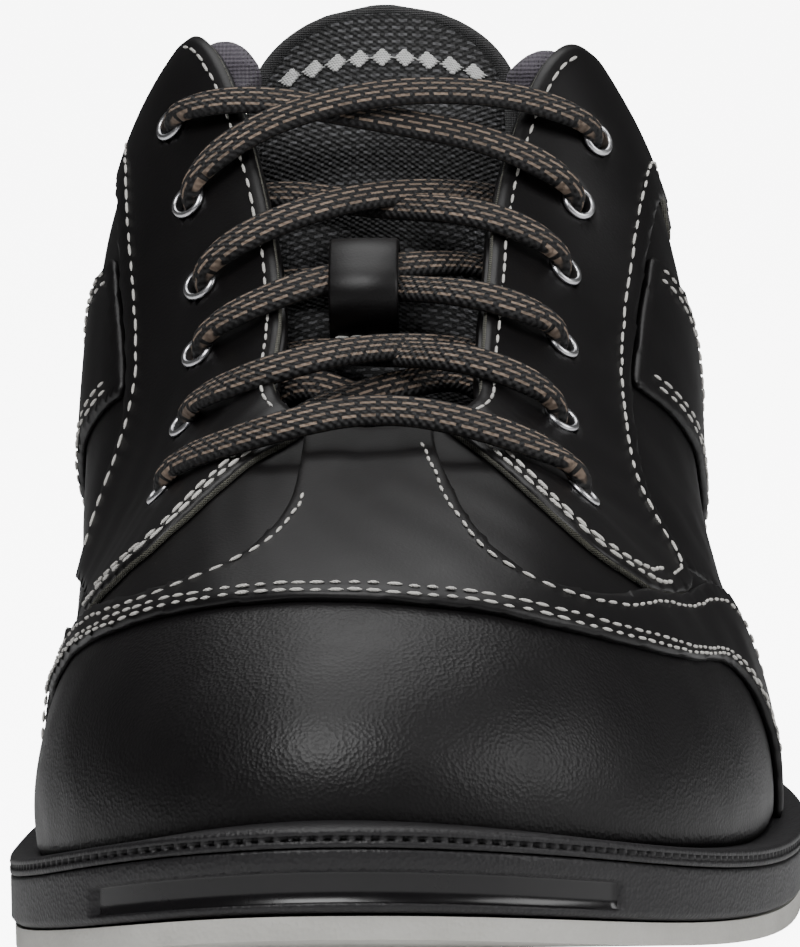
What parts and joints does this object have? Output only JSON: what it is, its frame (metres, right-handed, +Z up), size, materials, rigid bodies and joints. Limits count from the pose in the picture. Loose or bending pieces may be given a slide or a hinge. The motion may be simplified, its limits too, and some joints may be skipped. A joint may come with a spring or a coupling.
{
  "type": "bowling shoe",
  "caption": "Low-cut laced leather bowling shoe for the left foot, with a toe cap, padded collar, mesh tongue that flexes, slide sole and rubber heel.",
  "frame": {"origin": "on the floor under the arch, on the flat underside of the slide sole", "axes": "+X to the outer side of the foot, +Y from the toe towards the heel, +Z up"},
  "size_m": [0.1103, 0.3021, 0.1275],
  "materials": {
    "slide_fibre": "matt pale grey",
    "black_rubber": "satin black",
    "black_foam": "satin black with a gloss band in front",
    "spring_steel": "brushed",
    "cork_filler": "matt cork",
    "fibre_board": "matt board",
    "sock_fabric": "matt",
    "pebbled_leather": "satin, pebbled",
    "smooth_leather": "satin, smooth",
    "stiffener_sheet": "matt sheet",
    "lining_fabric": "matt",
    "knit_fabric": "matt knit",
    "nickel": "polished",
    "mesh_fabric": "open mesh",
    "braid": "flat braid with tan flecks",
    "aglet_plastic": "gloss"
  },
  "bodies": {
    "shoe": {"slide_sole": "slide_fibre", "heel_pad": "black_rubber", "midsole": "black_foam", "welt": "black_rubber", "shank": "spring_steel", "bottom_filler": "cork_filler", "insole_board": "fibre_board", "footbed": "sock_fabric", "toe_cap": "pebbled_leather", "vamp": "smooth_leather", "saddle": "smooth_leather", "eyestay_medial": "smooth_leather", "eyestay_lateral": "smooth_leather", "quarter_medial": "smooth_leather", "quarter_lateral": "smooth_leather", "stripe_medial": "smooth_leather", "stripe_lateral": "smooth_leather", "heel_cover": "smooth_leather", "backstay": "smooth_leather", "toe_puff": "stiffener_sheet", "heel_stiffener": "stiffener_sheet", "vamp_lining": "lining_fabric", "quarter_lining": "lining_fabric", "collar": "knit_fabric", "eyelets": "nickel", "tongue_base": "mesh_fabric", "lace_keeper": "smooth_leather", "lace": "braid", "aglets": "aglet_plastic"},
    "tongue_end": {"tongue_tip": "mesh_fabric"}
  },
  "joints": [
    {"name": "tongue_flex", "type": "hinge", "parent": "shoe", "child": "tongue_end", "pos_m": [0, 0.0146, 0.1097], "axis": [1, 0, 0], "range_deg": [-5, 22]}
  ]
}
